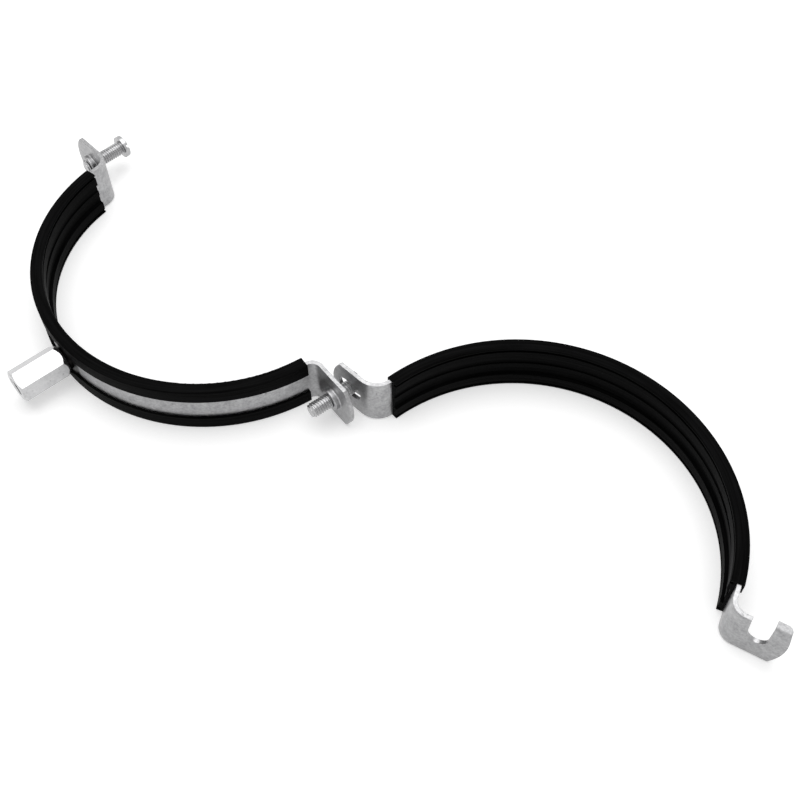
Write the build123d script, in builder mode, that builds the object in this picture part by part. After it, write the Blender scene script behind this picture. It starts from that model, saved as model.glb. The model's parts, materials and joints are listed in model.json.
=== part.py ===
from build123d import *
from math import asin, cos, degrees, radians, sin, sqrt
import os

os.makedirs("parts", exist_ok=True)

# Two-part pipe clamp, lying open on its side: pipe axes vertical, halves side by side.
# Origin: pipe axis of the lower half, at mid width. Angles run anticlockwise from +X.

# Steel strip of both halves
strip_thickness = 1.5
strip_width = 20.5
lower_radius = 68.5  # inside of the steel, lower half
upper_spread = 1.6  # how much wider the upper half is rolled
upper_radius = lower_radius + upper_spread
lower_span = 173.8  # degrees between the two mating faces of the lower half
upper_span = 165.3  # degrees between the two mating faces of the upper half
lower_hinge_bend = 5.0  # bend radii, each on the mating side of its flange
lower_lock_bend = 6.6
upper_hinge_bend = 8.6
hook_bend = 5.6
lower_hinge_offset = 0.0  # mating faces in front of (+) or behind (-) the pipe axis
lower_lock_offset = -0.5
upper_hinge_offset = 0.75
hook_offset = 0.4
lower_hinge_flange = 23.4  # from the inside of the steel to the tip of each flange
lower_lock_flange = 23.7
upper_hinge_flange = 22.8
hook_flange = 21.1
lower_hinge_reach = lower_radius + lower_hinge_flange
lower_lock_reach = lower_radius + lower_lock_flange
upper_hinge_reach = upper_radius + upper_hinge_flange
hook_reach = upper_radius + hook_flange
crown_radius = 15.0  # rounded end of three flanges
hook_crown_radius = 30.0
hook_crown_rise = 3.0  # the hook is rounded off about a point above mid width

# M6 screws and the holes they pass
shank_radius = 2.9
thread_clearance = 0.05
hinge_hole_set = 12.9  # from the inside of the steel to each screw's axis
lock_hole_set = 14.0
hinge_hole_radius = lower_radius + hinge_hole_set
lock_hole_radius = lower_radius + lock_hole_set
collar_wall = 1.45
collar_radius = shank_radius + thread_clearance + collar_wall
collar_height = 2.3
head_radius = 4.7
head_height = 2.0
drive_depth = 1.1
drive_slot = 1.4
head_edge = 0.4
lock_drive_turn = 60.0  # slot of the lock screw, from the strip's width
thread_tip = 0.5
hinge_length = 20.0
lock_length = 18.0
hinge_head_play = 1.1  # from each head down to the steel that it holds
lock_head_play = 6.4

# How the upper half hangs on the hinge screw
hinge_gap = 5.4  # between the two mating faces, along the hinge screw
upper_turn = 4.7  # hinge flange of the upper half, past the -X direction
pivot_set = 14.5  # from the inside of the steel to the hinge screw in its slot
slot_set = 14.1  # and to the middle of the slot
slot_travel = 5.5
slot_play = 0.85  # each side of the screw
pivot_radius = upper_radius + pivot_set
slot_middle = upper_radius + slot_set
slot_length = 2 * shank_radius + slot_travel
slot_width = 2 * (shank_radius + slot_play)
hinge_stand = hinge_gap + strip_thickness + hinge_head_play  # mating face to underside of head
swing_shift = 0.5  # swing axis beyond the hinge screw, within the play of the slot

# Hook
hook_slot_play = 0.5
hook_slot_radius = shank_radius + hook_slot_play
hook_slot_bottom = -1.8
hook_slot_flare = 0.6
hook_lift = 5.2  # closed, from the lock flange to the mating face of the hook
hook_play = 0.08  # closed, slot set this far inside the lock screw
lock_stand = hook_lift + strip_thickness + lock_head_play
nose_lean = 65.0
nose_inner_bend = 1.0
nose_length = 2.2
nose_bend_height = 8.3
nose_corner = 1.8

# Rubber lining, a C over the strip with ribs towards the pipe
lining_clearance = 0.05
lining_wall = 0.6
lining_base = 1.0
lip_thickness = 0.95
lip_width = 5.8
rib_height = 1.2
edge_bead = 0.9
side_rib_inner = 5.0  # heights between which each side rib lies
side_rib_outer = 8.9
mid_rib = 2.5
mid_rib_height = 0.45
lower_hinge_setback = 3.9  # degrees from mating face to end of lining
lower_lock_setback = 8.8
upper_hinge_setback = 5.7
hook_setback = 7.8

# Hexagon boss, tapped M8
boss_flats = 11.8
boss_length = 21.4
boss_bore_radius = 3.4
boss_chamfer_angle = 30.0
boss_relief = 0.6
boss_turn = -24.0  # about its own axis, as welded


def heading(angle):
    return Vector(cos(radians(angle)), sin(radians(angle)), 0)


def mating_plane(centre, angle, normal_angle):
    """Mating face of a flange: x runs outward from the pipe axis, z leaves the steel."""
    return Plane(origin=centre, x_dir=heading(angle), z_dir=heading(normal_angle))


def strip_line(radius, span, first, last):
    """Middle line of a bent strip: flange along +X, arc clockwise, second flange.
    first and last each hold bend radius, offset of the mating face and reach."""
    half = strip_thickness / 2
    first_turn = degrees(asin((first[0] - first[1]) / (radius + first[0])))
    last_turn = degrees(asin((last[0] - last[1]) / (radius + last[0])))
    first_flat = sqrt((radius + first[0]) ** 2 - (first[0] - first[1]) ** 2)
    last_flat = sqrt((radius + last[0]) ** 2 - (last[0] - last[1]) ** 2)
    start = Line((first[2], first[1] - half), (first_flat, first[1] - half))
    bend = JernArc(start @ 1, start % 1, first[0] - half, 90 - first_turn)
    arc = JernArc(bend @ 1, bend % 1, radius + half, first_turn + last_turn - span)
    turn = JernArc(arc @ 1, arc % 1, last[0] - half, 90 - last_turn)
    Line(turn @ 1, turn @ 1 + (turn % 1) * (last[2] - last_flat))


def crown_waste(reach, radius, rise=0):
    """Everything outside the rounded end of a flange."""
    with Locations((reach, 0)):
        Rectangle(10, 2 * strip_width)
    with Locations((reach - radius, rise)):
        Circle(radius, mode=Mode.SUBTRACT)


def lining_section(radius):
    """Cross section of the lining: x is the distance from the pipe axis, y the height."""
    outer = radius + strip_thickness + lining_clearance + lip_thickness
    base = radius - lining_clearance - lining_base
    half_width = strip_width / 2 + lining_clearance + lining_wall
    rib_top = base - rib_height
    pocket = strip_thickness + 2 * lining_clearance
    with Locations(((base + outer) / 2, 0)):
        Rectangle(outer - base, 2 * half_width)
    with Locations((radius + strip_thickness / 2, 0)):
        Rectangle(pocket, strip_width + 2 * lining_clearance, mode=Mode.SUBTRACT)
    with Locations((outer, 0)):
        Rectangle(2 * lip_thickness + 0.2, 2 * (half_width - lip_width), mode=Mode.SUBTRACT)
    root = 0.3
    for side in (-1, 1):
        with Locations(((rib_top + base + root) / 2, side * (half_width - edge_bead / 2))):
            Rectangle(rib_height + root, edge_bead)
        with Locations(((rib_top + base + root) / 2, side * (side_rib_inner + side_rib_outer) / 2)):
            Rectangle(rib_height + root, side_rib_outer - side_rib_inner)
    with Locations((base - (mid_rib_height - root) / 2, 0)):
        Rectangle(mid_rib_height + root, mid_rib)


def soften_lining(corners, radius):
    """Rounded rubber edges: outer corners wide, rib and lip edges small."""
    outer = radius + strip_thickness + lining_clearance + lip_thickness
    base = radius - lining_clearance - lining_base
    tops = (base - rib_height, base - mid_rib_height, outer)
    half_width = strip_width / 2 + lining_clearance + lining_wall
    wide = [v for v in corners if abs(abs(v.Y) - half_width) < 0.01]
    small = [
        v
        for v in corners
        if abs(abs(v.Y) - half_width) > 0.01 and min(abs(v.X - top) for top in tops) < 0.01
    ]
    fillet(wide, 0.5)
    fillet(small, 0.25)


# Where everything sits
lower_rest = (180 - lower_span) / 2
lower_hinge_face = mating_plane((0, 0, 0), -lower_rest, 90 - lower_rest).offset(lower_hinge_offset)
lower_lock_face = mating_plane((0, 0, 0), 180 + lower_rest, 90 + lower_rest).offset(lower_lock_offset)
upper_start = 180 + upper_turn
upper_end = upper_start - upper_span
slot_point = lower_hinge_face.from_local_coords(Vector(hinge_hole_radius, 0, hinge_gap))
upper_centre = slot_point - heading(upper_start) * pivot_radius
upper_centre -= heading(upper_start + 90) * upper_hinge_offset
upper_hinge_face = mating_plane(upper_centre, upper_start, upper_start + 90).offset(upper_hinge_offset)
hook_face = mating_plane(upper_centre, upper_end, upper_end - 90).offset(hook_offset)

# Turned over about its hinge flange the hook has to drop over the lock screw,
# so its slot lies as far from the pivot as the screw does.
pivot = slot_point - heading(upper_start + 90) * (strip_thickness / 2) - heading(upper_start) * swing_shift
hook_target = lower_lock_face.from_local_coords(Vector(lock_hole_radius - hook_play, 0, hook_lift))
from_pivot = hook_face.origin - pivot
swing_radius = (hook_target - pivot).length
along = from_pivot.dot(heading(upper_end))
hook_radius = sqrt(swing_radius**2 - from_pivot.length**2 + along**2) - along
hook_slot_edge = hook_radius + hook_slot_radius

# Lower half: strip with two flanges, each with a drawn and tapped collar
with BuildPart() as lower_band:
    with BuildSketch(Plane(origin=(0, 0, 0), x_dir=heading(-lower_rest), z_dir=(0, 0, 1))):
        with BuildLine():
            strip_line(
                lower_radius,
                lower_span,
                (lower_hinge_bend, lower_hinge_offset, lower_hinge_reach),
                (lower_lock_bend, lower_lock_offset, lower_lock_reach),
            )
        trace(line_width=strip_thickness)
    extrude(amount=strip_width / 2, both=True)
    for face, hole_radius, reach in (
        (lower_hinge_face, hinge_hole_radius, lower_hinge_reach),
        (lower_lock_face, lock_hole_radius, lower_lock_reach),
    ):
        with BuildSketch(face):
            crown_waste(reach, crown_radius)
        extrude(amount=2 * strip_thickness, both=True, mode=Mode.SUBTRACT)
        with BuildSketch(face.offset(-strip_thickness)):
            with Locations((hole_radius, 0)):
                Circle(collar_radius)
        extrude(amount=-collar_height)
        with BuildSketch(face):
            with Locations((hole_radius, 0)):
                Circle(shank_radius + thread_clearance)
        extrude(amount=-(strip_thickness + collar_height), mode=Mode.SUBTRACT)
    collar_edges = lower_band.edges().filter_by(GeomType.CIRCLE)
    fillet([e for e in collar_edges if abs(e.radius - collar_radius) < 0.001], 0.5)
    entry_edges = lower_band.edges().filter_by(GeomType.CIRCLE)
    bore_edges = [e for e in entry_edges if abs(e.radius - shank_radius - thread_clearance) < 0.001]
    mating_side = [
        e
        for e in bore_edges
        if min(abs(f.to_local_coords(e.arc_center).Z) for f in (lower_hinge_face, lower_lock_face)) < 0.01
    ]
    chamfer(mating_side, 0.4)
lower_band.part.label = "lower_band"
export_step(lower_band.part, "parts/lower_band.step")

# Upper half: strip with a slotted hinge flange and a hooked lock flange
with BuildPart() as upper_band:
    with BuildSketch(Plane(origin=upper_centre, x_dir=heading(upper_start), z_dir=(0, 0, 1))):
        with BuildLine():
            strip_line(
                upper_radius,
                upper_span,
                (upper_hinge_bend, upper_hinge_offset, upper_hinge_reach),
                (hook_bend, hook_offset, hook_reach),
            )
        trace(line_width=strip_thickness)
    extrude(amount=strip_width / 2, both=True)
    with BuildSketch(upper_hinge_face):
        crown_waste(upper_hinge_reach, crown_radius)
    extrude(amount=2 * strip_thickness, both=True, mode=Mode.SUBTRACT)
    with BuildSketch(upper_hinge_face):
        with Locations((slot_middle, 0)):
            SlotOverall(slot_length, slot_width)
    extrude(amount=2 * strip_thickness, both=True, mode=Mode.SUBTRACT)
    # open slot of the hook, flaring towards its mouth
    slot_centre = hook_slot_bottom + hook_slot_radius
    with BuildSketch(hook_face):
        with Locations((hook_radius, slot_centre)):
            Circle(hook_slot_radius)
        Polygon(
            (hook_radius - hook_slot_radius, slot_centre),
            (hook_slot_edge, slot_centre),
            (hook_slot_edge, strip_width),
            (hook_radius - hook_slot_radius - 2 * hook_slot_flare, strip_width),
            align=None,
        )
    extrude(amount=2 * strip_thickness, both=True, mode=Mode.SUBTRACT)
    # outer prong cut short and carried on as the bent nose
    with BuildSketch(hook_face):
        with Locations((hook_slot_edge + 5, nose_bend_height + 5)):
            Rectangle(10, 10)
    extrude(amount=2 * strip_thickness, both=True, mode=Mode.SUBTRACT)
    nose_plane = Plane(
        origin=hook_face.from_local_coords(Vector(hook_slot_edge, 0, 0)),
        x_dir=-hook_face.z_dir,
        z_dir=hook_face.x_dir,
    )
    with BuildSketch(nose_plane):
        with BuildLine():
            stem = Line((strip_thickness / 2, 0), (strip_thickness / 2, nose_bend_height))
            curl = JernArc(stem @ 1, stem % 1, nose_inner_bend + strip_thickness / 2, -nose_lean)
            Line(curl @ 1, curl @ 1 + (curl % 1) * nose_length)
        trace(line_width=strip_thickness)
    extrude(amount=hook_reach - hook_slot_edge)
    with BuildSketch(hook_face):
        crown_waste(hook_reach, hook_crown_radius, hook_crown_rise)
    extrude(amount=6 * strip_thickness, both=True, mode=Mode.SUBTRACT)
    tip_direction = hook_face.x_dir - hook_face.z_dir + Vector(0, 0, 1)
    fillet(upper_band.edges().sort_by(Axis(hook_face.origin, tip_direction))[-1], nose_corner)
upper_band.part.label = "upper_band"
export_step(upper_band.part, "parts/upper_band.step")

# Rubber lining of the lower half, with a round gap in its lips for the boss
with BuildPart() as lower_lining:
    lower_start = -lower_rest - lower_hinge_setback
    lower_end_plane = Plane(origin=(0, 0, 0), x_dir=heading(lower_start), z_dir=heading(lower_start - 90))
    with BuildSketch(lower_end_plane) as section:
        lining_section(lower_radius)
        soften_lining(section.vertices(), lower_radius)
    revolve(
        axis=Axis((0, 0, 0), (0, 0, -1)),
        revolution_arc=lower_span - lower_hinge_setback - lower_lock_setback,
    )
    strip_middle = -lower_radius - strip_thickness / 2
    boss_gap_plane = Plane(origin=(0, strip_middle, 0), x_dir=(1, 0, 0), z_dir=(0, -1, 0))
    with BuildSketch(boss_gap_plane):
        Circle(boss_flats / sqrt(3) + boss_relief)
    extrude(amount=4 * strip_thickness, mode=Mode.SUBTRACT)
lower_lining.part.label = "lower_lining"
export_step(lower_lining.part, "parts/lower_lining.step")

# Rubber lining of the upper half
with BuildPart() as upper_lining:
    lining_start = upper_start - upper_hinge_setback
    upper_end_plane = Plane(
        origin=upper_centre, x_dir=heading(lining_start), z_dir=heading(lining_start - 90)
    )
    with BuildSketch(upper_end_plane) as ring:
        lining_section(upper_radius)
        soften_lining(ring.vertices(), upper_radius)
    revolve(
        axis=Axis(upper_centre, (0, 0, -1)),
        revolution_arc=upper_span - upper_hinge_setback - hook_setback,
    )
upper_lining.part.label = "upper_lining"
export_step(upper_lining.part, "parts/upper_lining.step")

# Hexagon boss, foot curved to the strip it is welded to
with BuildPart() as boss_nut:
    boss_root = lower_radius + strip_thickness
    boss_corner = boss_flats / sqrt(3)
    with BuildSketch(Plane(origin=(0, -lower_radius, 0), x_dir=(1, 0, 0), z_dir=(0, -1, 0))):
        RegularPolygon(radius=boss_corner, side_count=6, rotation=boss_turn)
    extrude(amount=strip_thickness + boss_length)
    # corners turned down to a cone at the free end and at the foot
    slope = sin(radians(boss_chamfer_angle)) / cos(radians(boss_chamfer_angle))
    drop = (boss_corner + 1.3 - boss_flats / 2) * slope
    with BuildSketch(Plane.XY):
        with BuildLine():
            Polyline(
                (boss_flats / 2 - 0.3, -boss_root - boss_length),
                (boss_corner + 1, -boss_root - boss_length),
                (boss_corner + 1, -boss_root - boss_length + drop),
                (boss_flats / 2 - 0.3, -boss_root - boss_length),
            )
        make_face()
        with BuildLine():
            Polyline(
                (boss_flats / 2 - 0.3, -boss_root),
                (boss_flats / 2 - 0.3, -lower_radius),
                (boss_corner + 1, -lower_radius),
                (boss_corner + 1, -boss_root - drop),
                (boss_flats / 2 - 0.3, -boss_root),
            )
        make_face()
    revolve(axis=Axis.Y, revolution_arc=360, mode=Mode.SUBTRACT)
    with BuildSketch(Plane(origin=(0, -lower_radius, 0), x_dir=(1, 0, 0), z_dir=(0, -1, 0))):
        Circle(boss_bore_radius)
    extrude(amount=strip_thickness + boss_length, mode=Mode.SUBTRACT)
    with BuildSketch(Plane.XY):
        Circle(boss_root)
    extrude(amount=strip_width, both=True, mode=Mode.SUBTRACT)
boss_nut.part.label = "boss_nut"
export_step(boss_nut.part, "parts/boss_nut.step")

# Hinge screw: cylinder head with a slot and a cross recess, shank through slot and collar
with BuildPart() as hinge_screw:
    with BuildSketch(lower_hinge_face.offset(hinge_stand)):
        with Locations((hinge_hole_radius, 0)):
            Circle(head_radius)
    extrude(amount=head_height)
    head_top = hinge_screw.faces().sort_by(Axis(lower_hinge_face.origin, lower_hinge_face.z_dir))[-1]
    fillet(head_top.edges(), head_edge)
    with BuildSketch(lower_hinge_face.offset(hinge_stand)):
        with Locations((hinge_hole_radius, 0)):
            Circle(shank_radius)
    extrude(amount=-hinge_length)
    thread_end = hinge_screw.faces().sort_by(Axis(lower_hinge_face.origin, lower_hinge_face.z_dir))[0]
    chamfer(thread_end.edges(), thread_tip)
    with BuildSketch(lower_hinge_face.offset(hinge_stand + head_height)):
        with Locations((hinge_hole_radius, 0)):
            Rectangle(drive_slot, 3 * head_radius)
            Rectangle(head_radius, drive_slot)
    extrude(amount=-drive_depth, mode=Mode.SUBTRACT)
hinge_screw.part.label = "hinge_screw"
export_step(hinge_screw.part, "parts/hinge_screw.step")

# Lock screw: the same head on a shorter shank
with BuildPart() as lock_screw:
    with BuildSketch(lower_lock_face.offset(lock_stand)):
        with Locations((lock_hole_radius, 0)):
            Circle(head_radius)
    extrude(amount=head_height)
    head_top = lock_screw.faces().sort_by(Axis(lower_lock_face.origin, lower_lock_face.z_dir))[-1]
    fillet(head_top.edges(), head_edge)
    with BuildSketch(lower_lock_face.offset(lock_stand)):
        with Locations((lock_hole_radius, 0)):
            Circle(shank_radius)
    extrude(amount=-lock_length)
    thread_end = lock_screw.faces().sort_by(Axis(lower_lock_face.origin, lower_lock_face.z_dir))[0]
    chamfer(thread_end.edges(), thread_tip)
    with BuildSketch(lower_lock_face.offset(lock_stand + head_height)):
        with Locations((lock_hole_radius, 0)):
            Rectangle(drive_slot, 3 * head_radius, rotation=lock_drive_turn)
            Rectangle(head_radius, drive_slot, rotation=lock_drive_turn)
    extrude(amount=-drive_depth, mode=Mode.SUBTRACT)
lock_screw.part.label = "lock_screw"
export_step(lock_screw.part, "parts/lock_screw.step")
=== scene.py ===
import json
from math import cos, pi, radians, sin

import bpy
from mathutils import Matrix, Vector

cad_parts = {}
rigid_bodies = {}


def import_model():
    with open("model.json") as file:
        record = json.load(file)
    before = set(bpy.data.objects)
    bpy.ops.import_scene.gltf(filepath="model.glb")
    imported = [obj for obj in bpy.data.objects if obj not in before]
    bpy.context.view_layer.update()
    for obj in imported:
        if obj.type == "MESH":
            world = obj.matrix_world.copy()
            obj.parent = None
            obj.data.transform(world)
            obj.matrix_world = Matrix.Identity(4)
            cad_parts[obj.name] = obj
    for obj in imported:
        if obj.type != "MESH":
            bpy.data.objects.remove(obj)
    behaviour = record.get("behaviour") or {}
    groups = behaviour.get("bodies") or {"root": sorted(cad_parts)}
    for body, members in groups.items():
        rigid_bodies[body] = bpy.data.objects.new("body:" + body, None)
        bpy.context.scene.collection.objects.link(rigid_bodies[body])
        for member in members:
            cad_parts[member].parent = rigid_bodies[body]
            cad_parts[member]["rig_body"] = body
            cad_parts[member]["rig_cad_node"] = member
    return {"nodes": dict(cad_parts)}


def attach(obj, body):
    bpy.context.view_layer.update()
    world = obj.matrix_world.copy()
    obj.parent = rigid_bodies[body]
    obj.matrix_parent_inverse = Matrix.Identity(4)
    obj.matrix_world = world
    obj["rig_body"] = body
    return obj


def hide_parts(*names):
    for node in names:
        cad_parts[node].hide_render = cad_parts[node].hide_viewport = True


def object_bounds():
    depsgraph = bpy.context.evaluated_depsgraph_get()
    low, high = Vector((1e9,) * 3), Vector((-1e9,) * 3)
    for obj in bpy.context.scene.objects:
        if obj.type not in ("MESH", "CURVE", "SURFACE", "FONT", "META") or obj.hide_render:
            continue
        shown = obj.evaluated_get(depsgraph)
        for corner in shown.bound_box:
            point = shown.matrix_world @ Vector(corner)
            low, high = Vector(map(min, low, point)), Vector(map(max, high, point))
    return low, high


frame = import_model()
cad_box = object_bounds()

nodes = frame["nodes"]


# ---- Steel strips -------------------------------------------------------------------------
# Two lengths of 1.5 mm mild steel strip, rolled to half a pipe, with their flanges folded out.
# Zinc plated after forming: a satin grey with the faint cloudy grain that the bath leaves.
# The lower one has a dark ring where the boss is welded on, part weld scale and part painted shade
# of the gap under the boss.

# The dark ring round the boss's foot: part weld scale, part painted shade of the gap under the
# boss.
foot_ring_radius = 0.0085
foot_ring_fade = 0.0012
foot_ring_wander = 0.002
foot_ring_inner_y = -0.0695
foot_ring_outer_y = -0.0713
# Tone of the dark specks and of the foot ring; in the ring it is part weld scale, part painted
# shade.
scale_and_shade_tone = (0.012, 0.0115, 0.011, 1)
blue_cast = 0.005


class Wire:
    """One socket of a material, for maths written as plain expressions."""

    def __init__(self, tree, socket=None):
        self.tree = tree
        self.socket = socket

    def node(self, kind, settings=None, inputs=None, output=0):
        """Adds a node and gives one of its outputs; stops are a ramp's two (place, level)."""
        made = self.tree.nodes.new(kind)
        for name, value in (settings or {}).items():
            if name == "stops":
                for element, (place, level) in zip(made.color_ramp.elements, value):
                    element.position = place
                    element.color = (level, level, level, 1)
            else:
                setattr(made, name, value)
        for name, value in (inputs or {}).items():
            if isinstance(value, Wire):
                self.tree.links.new(value.socket, made.inputs[name])
            else:
                made.inputs[name].default_value = value
        return Wire(self.tree, made.outputs[output])

    def maths(self, operation, *others):
        inputs = dict(enumerate((self,) + others))
        return self.node("ShaderNodeMath", {"operation": operation}, inputs)

    def __add__(self, other):
        return self.maths("ADD", other)

    def __sub__(self, other):
        return self.maths("SUBTRACT", other)

    def __mul__(self, other):
        return self.maths("MULTIPLY", other)

    __radd__ = __add__
    __rmul__ = __mul__


def new_finish(name):
    """An empty node material, its surface shader and its Object coordinates."""
    material = bpy.data.materials.new(name)
    material.use_nodes = True
    tree = material.node_tree
    place = Wire(tree).node("ShaderNodeTexCoord", output="Object")
    return material, tree.nodes["Principled BSDF"], place


def coordinates(place):
    """X, Y and Z of a position."""
    inputs = {"Vector": place}
    return [place.node("ShaderNodeSeparateXYZ", inputs=inputs, output=axis) for axis in "XYZ"]


def grain(place, scale, detail, roughness):
    """Cloudy noise from 0 to 1 whose patches are about 1/scale metres across."""
    inputs = {"Vector": place, "Scale": scale, "Detail": detail, "Roughness": roughness}
    return place.node("ShaderNodeTexNoise", inputs=inputs)


def ramp(value, *stops):
    """A level that follows value between two stops, each a (value, level)."""
    return value.node("ShaderNodeValToRGB", {"stops": stops}, {"Fac": value})


def blend(mask, first, second):
    """Colour between two tones, by mask."""
    inputs = {"Factor": mask, "A": first, "B": second}
    return mask.node("ShaderNodeMix", {"data_type": "RGBA"}, inputs, output=2)


def feed(shader, name, wire):
    """Wires a value into one input of a shader."""
    wire.tree.links.new(wire.socket, shader.inputs[name])


def foot_ring_scale_and_shade(place, clouds):
    """1 on the dark ring round the foot of the boss: weld scale with painted shade of the gap under
    it.
    """
    x, y, z = coordinates(place)
    from_axis = (x * x + z * z).maths("SQRT") + foot_ring_wander * clouds
    ring = ramp(from_axis, (foot_ring_radius, 1.0), (foot_ring_radius + foot_ring_fade, 0.0))
    return ring * y.maths("LESS_THAN", foot_ring_inner_y) * y.maths("GREATER_THAN", foot_ring_outer_y)


def apply_relief(surface, height, depth, strength, edge=0.0):
    """Fine relief from a height map, with sharp edges worn round to the radius edge."""
    inputs = {"Height": height, "Distance": depth, "Strength": strength}
    if edge:
        inputs["Normal"] = height.node("ShaderNodeBevel", {"samples": 4}, {"Radius": edge})
    feed(surface, "Normal", height.node("ShaderNodeBump", inputs=inputs))


def zinc_finish(name, dark, light, smooth, rough, depth, strength, edge, with_foot_ring=False):
    """Zinc plating: cloudy tone, satin grain, dark specks and worn edges."""
    material, surface, place = new_finish(name)
    surface.inputs["Metallic"].default_value = 1.0
    clouds = grain(place, scale=260.0, detail=4.0, roughness=0.65)
    fine = grain(place, scale=1100.0, detail=2.0, roughness=0.6)
    mottle = clouds * 0.5 + fine * 0.5
    dark_tone, light_tone = ((level, level, level + blue_cast, 1) for level in (dark, light))
    colour = blend(ramp(mottle, (0.34, 0.0), (0.66, 1.0)), dark_tone, light_tone)
    specks_and_foot_ring = ramp(grain(place, scale=620.0, detail=2.0, roughness=0.4), (0.67, 0.0), (0.76, 0.3))
    # The foot ring darkens the zinc round the boss's foot: part weld scale, part painted shade in
    # the gap there.
    if with_foot_ring:
        specks_and_foot_ring = specks_and_foot_ring.maths("MAXIMUM", foot_ring_scale_and_shade(place, clouds))
    feed(surface, "Base Color", blend(specks_and_foot_ring, colour, scale_and_shade_tone))
    feed(surface, "Roughness", smooth + (rough - smooth) * mottle)
    apply_relief(surface, clouds * 0.4 + fine, depth, strength, edge)
    return material


def coat(piece, material):
    """Gives a piece its finish."""
    piece.data.materials.clear()
    piece.data.materials.append(material)


strip_zinc = zinc_finish(
    "strip_zinc", dark=0.25, light=0.45, smooth=0.27, rough=0.42,
    depth=0.00006, strength=0.6, edge=0.00025, with_foot_ring=True,
)
coat(nodes["lower_band"], strip_zinc)
coat(nodes["upper_band"], strip_zinc)


# ---- Rubber linings -----------------------------------------------------------------------
# Black EPDM, extruded as one long ribbed C and snapped over each strip before it is closed.
# The die leaves fine lines along the ribbon, and talc and handling a slightly uneven sheen.

lower_centre = (0.0, 0.0)
upper_centre = (0.165827, 0.00867)
line_squeeze = 0.0016
rubber_dark = (0.0006, 0.0006, 0.0006, 1)
rubber_light = (0.0055, 0.0055, 0.0057, 1)


def rubber_finish(name, centre):
    """Black rubber whose die lines run round the centre of its half."""
    material, surface, place = new_finish(name)
    x, y, height = coordinates(place)
    x, y = x - centre[0], y - centre[1]
    distance = (x * x + y * y).maths("SQRT")
    turn = y.maths("ARCTAN2", x)
    inputs = {"X": distance, "Y": height, "Z": turn * line_squeeze}
    ribbon = place.node("ShaderNodeCombineXYZ", inputs=inputs)
    lines = grain(ribbon, scale=1500.0, detail=2.0, roughness=0.5)
    bloom = grain(place, scale=90.0, detail=4.0, roughness=0.6)
    speck = grain(place, scale=2600.0, detail=2.0, roughness=0.5)
    streaks = ramp(lines * 0.65 + bloom * 0.2 + speck * 0.15, (0.38, 0.0), (0.66, 1.0))
    feed(surface, "Base Color", blend(streaks, rubber_dark, rubber_light))
    feed(surface, "Roughness", 0.38 + 0.16 * bloom + 0.08 * lines)
    surface.inputs["Specular IOR Level"].default_value = 0.015
    apply_relief(surface, lines + 0.3 * speck, depth=0.00012, strength=0.8)
    return material


coat(nodes["lower_lining"], rubber_finish("lower_rubber", lower_centre))
coat(nodes["upper_lining"], rubber_finish("upper_rubber", upper_centre))


# ---- Hexagon boss -------------------------------------------------------------------------
# An 11.8 mm hexagon bar, turned down to a neck at the foot, tapped M8 and welded on.
# The bar is drawn bright before plating, so it is a little lighter and smoother than the strip.

boss_foot = -0.0695
boss_length = 0.0219
boss_pitch = 0.00125
boss_bore = 0.0034
boss_thread_depth = 0.00055
tap_start = 0.002
tap_length = 0.026
neck_radius = 0.0050
neck_length = 0.0015
shoulder_height = 0.0041
past_corners = 0.0070
past_end = 0.0225
merge_distance = 1e-6
plane_tolerance = 1e-7

# The boss's neck and the foot of its shoulder take the same dark foot ring: weld scale, and painted
# shade in that recess.
boss_zinc = zinc_finish(
    "boss_zinc", dark=0.46, light=0.60, smooth=0.24, rough=0.36,
    depth=0.00005, strength=0.5, edge=0.0002, with_foot_ring=True,
)


def only(piece):
    """This piece alone is selected and active."""
    bpy.ops.object.select_all(action="DESELECT")
    piece.select_set(True)
    bpy.context.view_layer.objects.active = piece


def open_mesh():
    """Edit mode, with the whole mesh selected."""
    bpy.ops.object.mode_set(mode="EDIT")
    bpy.ops.mesh.select_all(action="SELECT")


def close_mesh():
    """Back to object mode."""
    bpy.ops.object.mode_set(mode="OBJECT")


def free_copy(node_name, name):
    """A copy of a CAD node as a closed mesh of its own."""
    piece = nodes[node_name].copy()
    piece.data = nodes[node_name].data.copy()
    piece.name = name
    piece.data.name = name
    piece.parent = None
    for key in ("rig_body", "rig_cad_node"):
        del piece[key]
    bpy.context.scene.collection.objects.link(piece)
    only(piece)
    bpy.ops.mesh.customdata_custom_splitnormals_clear()
    open_mesh()
    bpy.ops.mesh.remove_doubles(threshold=merge_distance)
    close_mesh()
    return piece


def turn_profile(name, outline, steps, rise=0.0, turns=1):
    """Winds an outline of (radius, height) points about Z, climbing by rise in each turn."""
    bpy.ops.object.select_all(action="DESELECT")
    bpy.ops.mesh.primitive_plane_add(size=0.0001, location=(0, 0, 0))
    piece = bpy.context.object
    piece.name = name
    open_mesh()
    bpy.ops.mesh.merge(type="CENTER")
    bpy.ops.transform.translate(value=(outline[0][0], 0, outline[0][1]))
    for (radius, height), (next_radius, next_height) in zip(outline, outline[1:]):
        step = (next_radius - radius, 0, next_height - height)
        bpy.ops.mesh.extrude_region_move(TRANSFORM_OT_translate={"value": step})
    close_mesh()
    winding = piece.modifiers.new("winding", "SCREW")
    winding.axis = "Z"
    winding.angle = 2 * pi
    winding.screw_offset = rise
    winding.iterations = turns
    winding.steps = steps
    winding.render_steps = steps
    winding.use_merge_vertices = True
    winding.merge_threshold = merge_distance
    only(piece)
    bpy.ops.object.modifier_apply(modifier=winding.name)
    open_mesh()
    bpy.ops.mesh.remove_doubles(threshold=merge_distance)
    bpy.ops.mesh.normals_make_consistent(inside=False)
    close_mesh()
    return piece


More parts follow.
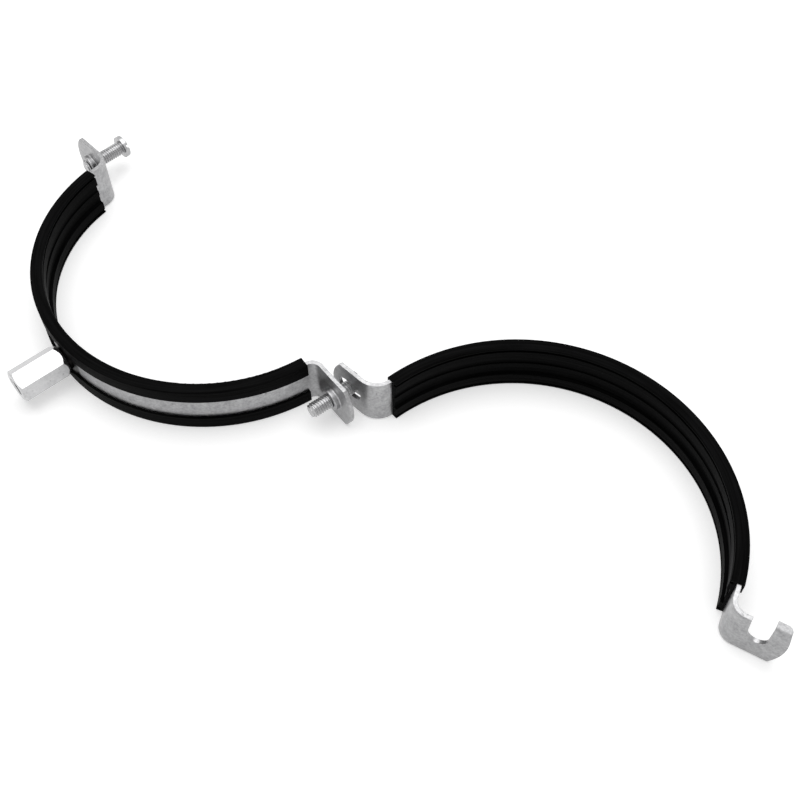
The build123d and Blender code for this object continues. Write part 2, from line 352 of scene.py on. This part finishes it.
def roll_thread(name, pitch, root, crest, length, steps=48):
    """A threaded rod from z = 0 to z = length, one pitch of profile wound up and cut square."""
    low_end = -pitch
    outline = (
        (root, low_end),
        (root, low_end + 0.20 * pitch),
        (crest, low_end + 0.51 * pitch),
        (crest, low_end + 0.69 * pitch),
        (root, low_end + pitch),
    )
    rod = turn_profile(name, outline, steps, rise=pitch, turns=round(length / pitch) + 2)
    open_mesh()
    for height, waste in ((0, {"clear_inner": True}), (length, {"clear_outer": True})):
        bpy.ops.mesh.select_all(action="SELECT")
        bpy.ops.mesh.bisect(
            plane_co=(0, 0, height), plane_no=(0, 0, 1),
            use_fill=True, threshold=plane_tolerance, **waste
        )
    bpy.ops.mesh.select_all(action="SELECT")
    bpy.ops.mesh.normals_make_consistent(inside=False)
    close_mesh()
    return rod


def carve(piece, tool, operation):
    """Cuts piece with tool, or keeps what they share, and takes the tool away."""
    cut = piece.modifiers.new("cut", "BOOLEAN")
    cut.operation = operation
    cut.solver = "EXACT"
    cut.object = tool
    only(piece)
    bpy.ops.object.modifier_apply(modifier=cut.name)
    bpy.data.objects.remove(tool)


def settle(piece, matrix):
    """Moves a piece by a matrix and leaves it at the origin, unturned and unscaled."""
    piece.matrix_world = matrix
    only(piece)
    bpy.ops.object.transform_apply(location=True, rotation=True, scale=True)


def lay_along_y(piece, foot):
    """Turns a piece modelled up Z to run towards -Y from y = foot."""
    settle(piece, Matrix.Translation((0, foot, 0)) @ Matrix.Rotation(radians(90), 4, "X"))


boss = free_copy("boss_nut", "boss_turned")
neck_outline = (
    (0.0, 0.0),
    (neck_radius, 0.0),
    (neck_radius, neck_length),
    (past_corners, shoulder_height),
    (past_corners, boss_length),
    (0.0066, past_end),
    (0.0, past_end),
)
neck = turn_profile("neck", neck_outline, 96)
lay_along_y(neck, boss_foot)
carve(boss, neck, "INTERSECT")
tap = roll_thread("tap", boss_pitch, boss_bore, boss_bore + boss_thread_depth, tap_length, steps=40)
lay_along_y(tap, boss_foot + tap_start)
carve(boss, tap, "DIFFERENCE")
coat(boss, boss_zinc)
only(boss)
bpy.ops.object.shade_smooth_by_angle(angle=radians(25))
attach(boss, "lower_half")
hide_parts("boss_nut")


# ---- Screws -------------------------------------------------------------------------------
# Two M6 machine screws with a flat cylinder head, one slot and a cross recess, rolled thread.
# Barrel plating leaves them a little lighter than the strips and wears their crests.

thread_pitch = 0.001
thread_crest = 0.00288
thread_root = 0.00240
head_overlap = 0.0002
tip_steps = ((0.0009, 0.965), (0.0006, 0.95), (0.0003, 0.94), (0.0001, 0.95))

screw_zinc = zinc_finish(
    "screw_zinc", dark=0.36, light=0.50, smooth=0.24, rough=0.36,
    depth=0.00004, strength=0.5, edge=0.00012,
)


def cut_head(node_name, name, seat, normal):
    """The head of a plain CAD screw, kept from its underside outwards."""
    head = free_copy(node_name, name)
    open_mesh()
    bpy.ops.mesh.bisect(
        plane_co=seat - normal * head_overlap, plane_no=normal,
        use_fill=True, clear_inner=True, threshold=plane_tolerance
    )
    close_mesh()
    return head


def taper_tip(shank):
    """Runs the first turns of the thread down to the rounded tip."""
    for reach, share in tip_steps:
        bpy.ops.object.mode_set(mode="EDIT")
        bpy.ops.mesh.select_all(action="DESELECT")
        close_mesh()
        for vertex in shank.data.vertices:
            vertex.select = vertex.co.z < reach
        bpy.ops.object.mode_set(mode="EDIT")
        bpy.ops.transform.resize(value=(share, share, 1), center_override=(0, 0, 0))
        close_mesh()


def fit_screw(node_name, body, hole, seat_height, outward, length):
    """Head and threaded shank as one piece, its head seat_height out from the hole.

    Outward is the heading of the head in degrees.
    """
    normal = Vector((cos(radians(outward)), sin(radians(outward)), 0))
    seat = Vector(hole) + seat_height * normal
    head = cut_head(node_name, node_name + "_head", seat, normal)
    shank = roll_thread(node_name + "_shank", thread_pitch, thread_root, thread_crest, length)
    taper_tip(shank)
    across = Vector((0, 0, 1))
    turned = Matrix((across, normal.cross(across), normal)).transposed().to_4x4()
    settle(shank, Matrix.Translation(seat - normal * length) @ turned)
    only(head)
    shank.select_set(True)
    bpy.ops.object.join()
    screw = bpy.context.object
    screw.name = node_name + "_threaded"
    screw.data.name = screw.name
    coat(screw, screw_zinc)
    only(screw)
    bpy.ops.object.shade_smooth_by_angle(angle=radians(28))
    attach(screw, body)
    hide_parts(node_name)


fit_screw(
    "hinge_screw", "hinge_screw", hole=(0.081281, -0.004402, 0),
    seat_height=0.008, outward=86.9, length=0.020
)
fit_screw(
    "lock_screw", "lock_screw", hole=(-0.082352, -0.004961, 0),
    seat_height=0.0131, outward=93.1, length=0.018
)


# ---- Floor, lamps and camera --------------------------------------------------------------
# A white table under soft studio light: one large lamp that hangs nearly overhead, and an
# even white room. The clamp lies on the edges of its linings, a hair above the table.

table_size = 8.0
table_gap = 0.00005
near_glow = (0.25, 0.42)
far_glow = (1.0, 0.9)
room_light = 0.3

low, high = cad_box
middle = (Vector(low) + Vector(high)) / 2


def seen_rays(start):
    """1 on rays from the camera, and on those that a shiny or a clear face sends on."""
    camera, glossy, clear = (
        start.node("ShaderNodeLightPath", output="Is " + kind + " Ray")
        for kind in ("Camera", "Glossy", "Transmission")
    )
    return camera.maths("MAXIMUM", glossy).maths("MAXIMUM", clear)


bpy.ops.object.select_all(action="DESELECT")
bpy.ops.mesh.primitive_plane_add(
    size=table_size, location=(middle.x, middle.y, low[2] - table_gap)
)
table = bpy.context.object
table.name = "table"
table_white, surface, place = new_finish("table_white")
surface.inputs["Base Color"].default_value = (0.8, 0.8, 0.8, 1)
surface.inputs["Roughness"].default_value = 0.9
surface.inputs["Specular IOR Level"].default_value = 0.0
x, y, z = coordinates(place)
from_clamp = (x * x + y * y).maths("SQRT")
feed(surface, "Emission Color", seen_rays(place) * ramp(from_clamp, near_glow, far_glow))
surface.inputs["Emission Strength"].default_value = 1.0
coat(table, table_white)

room = bpy.data.worlds.new("room")
bpy.context.scene.world = room
room.use_nodes = True
backdrop = room.node_tree.nodes["Background"]
backdrop.inputs["Color"].default_value = (1, 1, 1, 1)
room_seen = seen_rays(Wire(room.node_tree))
feed(backdrop, "Strength", room_light + (1 - room_light) * room_seen)


def hang_lamp(name, heading, elevation, away, size, power):
    """A square soft lamp that faces the middle of the clamp."""
    heading, elevation = radians(heading), radians(elevation)
    level = cos(elevation)
    toward = Vector((level * cos(heading), level * sin(heading), sin(elevation)))
    lamp = bpy.data.lights.new(name, "AREA")
    lamp.size = size
    lamp.energy = power
    lamp_object = bpy.data.objects.new(name, lamp)
    bpy.context.scene.collection.objects.link(lamp_object)
    lamp_object.location = middle + toward * away
    lamp_object.rotation_euler = toward.to_track_quat("Z", "Y").to_euler()


hang_lamp("window", heading=139, elevation=82, away=1.3, size=1.5, power=15.5)

camera = bpy.data.cameras.new("camera")
camera.lens = 50.957
camera.sensor_width = 36.0
camera.clip_start = 0.01
camera_object = bpy.data.objects.new("camera", camera)
bpy.context.scene.collection.objects.link(camera_object)
camera_object.location = (0.278828, -0.142279, 0.339887)
camera_object.rotation_euler = (radians(34.9131), radians(0.4362), radians(48.9751))
bpy.context.scene.camera = camera_object
bpy.context.scene.view_settings.view_transform = "Standard"
